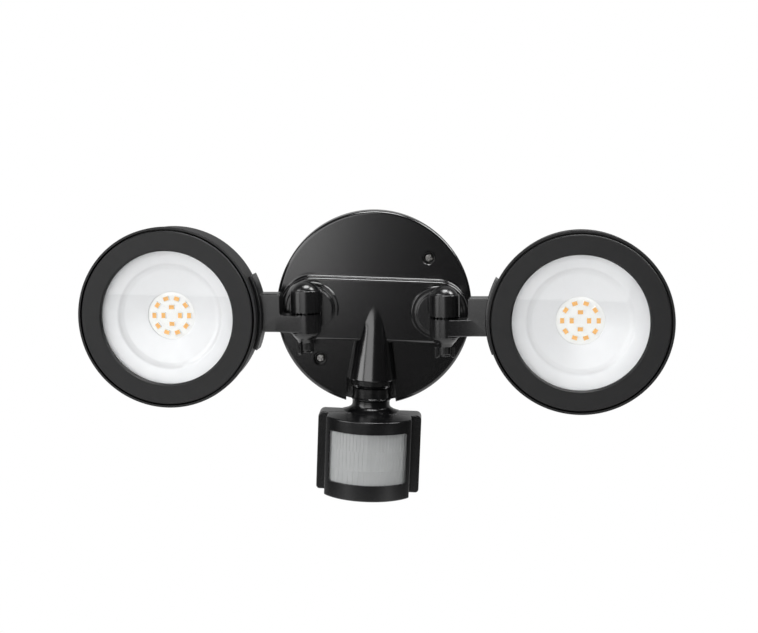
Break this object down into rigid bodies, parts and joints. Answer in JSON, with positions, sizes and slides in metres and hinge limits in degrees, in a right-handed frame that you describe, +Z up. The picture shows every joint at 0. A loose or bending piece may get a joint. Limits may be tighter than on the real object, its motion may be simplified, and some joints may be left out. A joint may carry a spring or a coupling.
{
  "type": "motion sensor security light",
  "caption": "Wall-mounted outdoor security light: round canopy, round flood heads on hinged swivel arms and a motion sensor on a ball joint below.",
  "frame": {"origin": "centre of the two box-screw slots, on the wall plane behind the canopy", "axes": "+Y into the wall, -Y the way the light faces, +Z up, +X along the two heads"},
  "size_m": [0.3406, 0.0782, 0.1678],
  "materials": {
    "canopy_plastic": "smooth satin black",
    "foam_rubber": "closed-cell foam",
    "zinc_steel": "zinc plated",
    "screw_steel": "zinc plated",
    "ground_green": "green lacquer",
    "circuit_board": "solder mask",
    "coil_tape": "tape over ferrite",
    "can_sleeve": "shrink sleeve",
    "relay_case": "moulded case",
    "knuckle_metal": "smooth satin black paint",
    "seal_rubber": "moulded rubber",
    "head_coat": "fine-textured matte powder coat",
    "clear_glass": "clear",
    "silicone": "moulded silicone",
    "white_reflector": "smooth white",
    "board_white": "white solder mask",
    "led_phosphor": "white body, amber phosphor",
    "ball_nylon": "moulded",
    "sensor_plastic": "smooth satin black",
    "milky_lens": "frosted with fine ribs",
    "can_metal": "plated can",
    "cell_resin": "clear resin over cell",
    "dial_plastic": "moulded"
  },
  "bodies": {
    "canopy": {"canopy_housing": "canopy_plastic", "wall_gasket": "foam_rubber", "mounting_plate": "zinc_steel", "ground_screw": "ground_green", "canopy_screws": "screw_steel", "socket_ring": "canopy_plastic", "driver_pcb": "circuit_board", "driver_transformer": "coil_tape", "driver_capacitors": "can_sleeve", "driver_relay": "relay_case", "driver_screws": "screw_steel", "left_swivel_seal": "seal_rubber", "right_swivel_seal": "seal_rubber"},
    "left_knuckle": {"left_swivel": "knuckle_metal", "left_swivel_washer": "zinc_steel", "left_swivel_nut": "zinc_steel", "left_hinge_bolt": "knuckle_metal"},
    "left_lamp": {"left_cup_washer": "knuckle_metal", "left_arm": "knuckle_metal", "left_arm_screws": "screw_steel", "left_head_housing": "head_coat", "left_bezel": "head_coat", "left_lens": "clear_glass", "left_lens_gasket": "silicone", "left_reflector": "white_reflector", "left_led_board": "board_white", "left_led_chips": "led_phosphor", "left_board_screws": "screw_steel", "left_bezel_screws": "screw_steel"},
    "left_clamp": {"left_wing_nut": "knuckle_metal"},
    "right_knuckle": {"right_swivel": "knuckle_metal", "right_swivel_washer": "zinc_steel", "right_swivel_nut": "zinc_steel", "right_hinge_bolt": "knuckle_metal"},
    "right_lamp": {"right_cup_washer": "knuckle_metal", "right_arm": "knuckle_metal", "right_arm_screws": "screw_steel", "right_head_housing": "head_coat", "right_bezel": "head_coat", "right_lens": "clear_glass", "right_lens_gasket": "silicone", "right_reflector": "white_reflector", "right_led_board": "board_white", "right_led_chips": "led_phosphor", "right_board_screws": "screw_steel", "right_bezel_screws": "screw_steel"},
    "right_clamp": {"right_wing_nut": "knuckle_metal"},
    "sensor_pivot": {"sensor_ball": "ball_nylon", "pivot_pin": "screw_steel"},
    "sensor": {"sensor_housing": "sensor_plastic", "sensor_front": "sensor_plastic", "fresnel_lens": "milky_lens", "sensor_pcb": "circuit_board", "pir_element": "can_metal", "photocell": "cell_resin", "sensor_screws": "screw_steel"},
    "time_knob": {"time_dial": "dial_plastic"},
    "range_knob": {"range_dial": "dial_plastic"}
  },
  "joints": [
    {"name": "left_swivel_turn", "type": "hinge", "parent": "canopy", "child": "left_knuckle", "pos_m": [-0.037, -0.0268, 0], "axis": [0, 1, 0], "range_deg": [-45, 60]},
    {"name": "left_head_aim", "type": "hinge", "parent": "left_knuckle", "child": "left_lamp", "pos_m": [-0.0403, -0.0415, -0.00015], "axis": [-0.0471, 0, 0.9989], "range_deg": [-5, 70]},
    {"name": "left_wing_nut_turn", "type": "hinge", "parent": "left_knuckle", "child": "left_clamp", "pos_m": [-0.0403, -0.0415, -0.00015], "axis": [-0.0471, 0, 0.9989], "range_deg": [0, 360]},
    {"name": "right_swivel_turn", "type": "hinge", "parent": "canopy", "child": "right_knuckle", "pos_m": [0.037, -0.0268, 0], "axis": [0, -1, 0], "range_deg": [-45, 60]},
    {"name": "right_head_aim", "type": "hinge", "parent": "right_knuckle", "child": "right_lamp", "pos_m": [0.04029, -0.0415, 0.00017], "axis": [0.0523, 0, -0.9986], "range_deg": [-20, 70]},
    {"name": "right_wing_nut_turn", "type": "hinge", "parent": "right_knuckle", "child": "right_clamp", "pos_m": [0.04029, -0.0415, 0.00017], "axis": [-0.0523, 0, 0.9986], "range_deg": [0, 360]},
    {"name": "sensor_pan", "type": "hinge", "parent": "canopy", "child": "sensor_pivot", "pos_m": [0, -0.0175, -0.038], "axis": [0, 0, 1], "range_deg": [-17, 23]},
    {"name": "sensor_tilt", "type": "hinge", "parent": "sensor_pivot", "child": "sensor", "pos_m": [0, -0.0175, -0.038], "axis": [-0.9986, 0.0523, 0], "range_deg": [-3, 15]},
    {"name": "time_dial_turn", "type": "hinge", "parent": "sensor", "child": "time_knob", "pos_m": [-0.01203, -0.0369, -0.1083], "axis": [0, 0, 1], "range_deg": [-135, 135]},
    {"name": "range_dial_turn", "type": "hinge", "parent": "sensor", "child": "range_knob", "pos_m": [0.00994, -0.03805, -0.1083], "axis": [0, 0, 1], "range_deg": [-135, 135]}
  ]
}
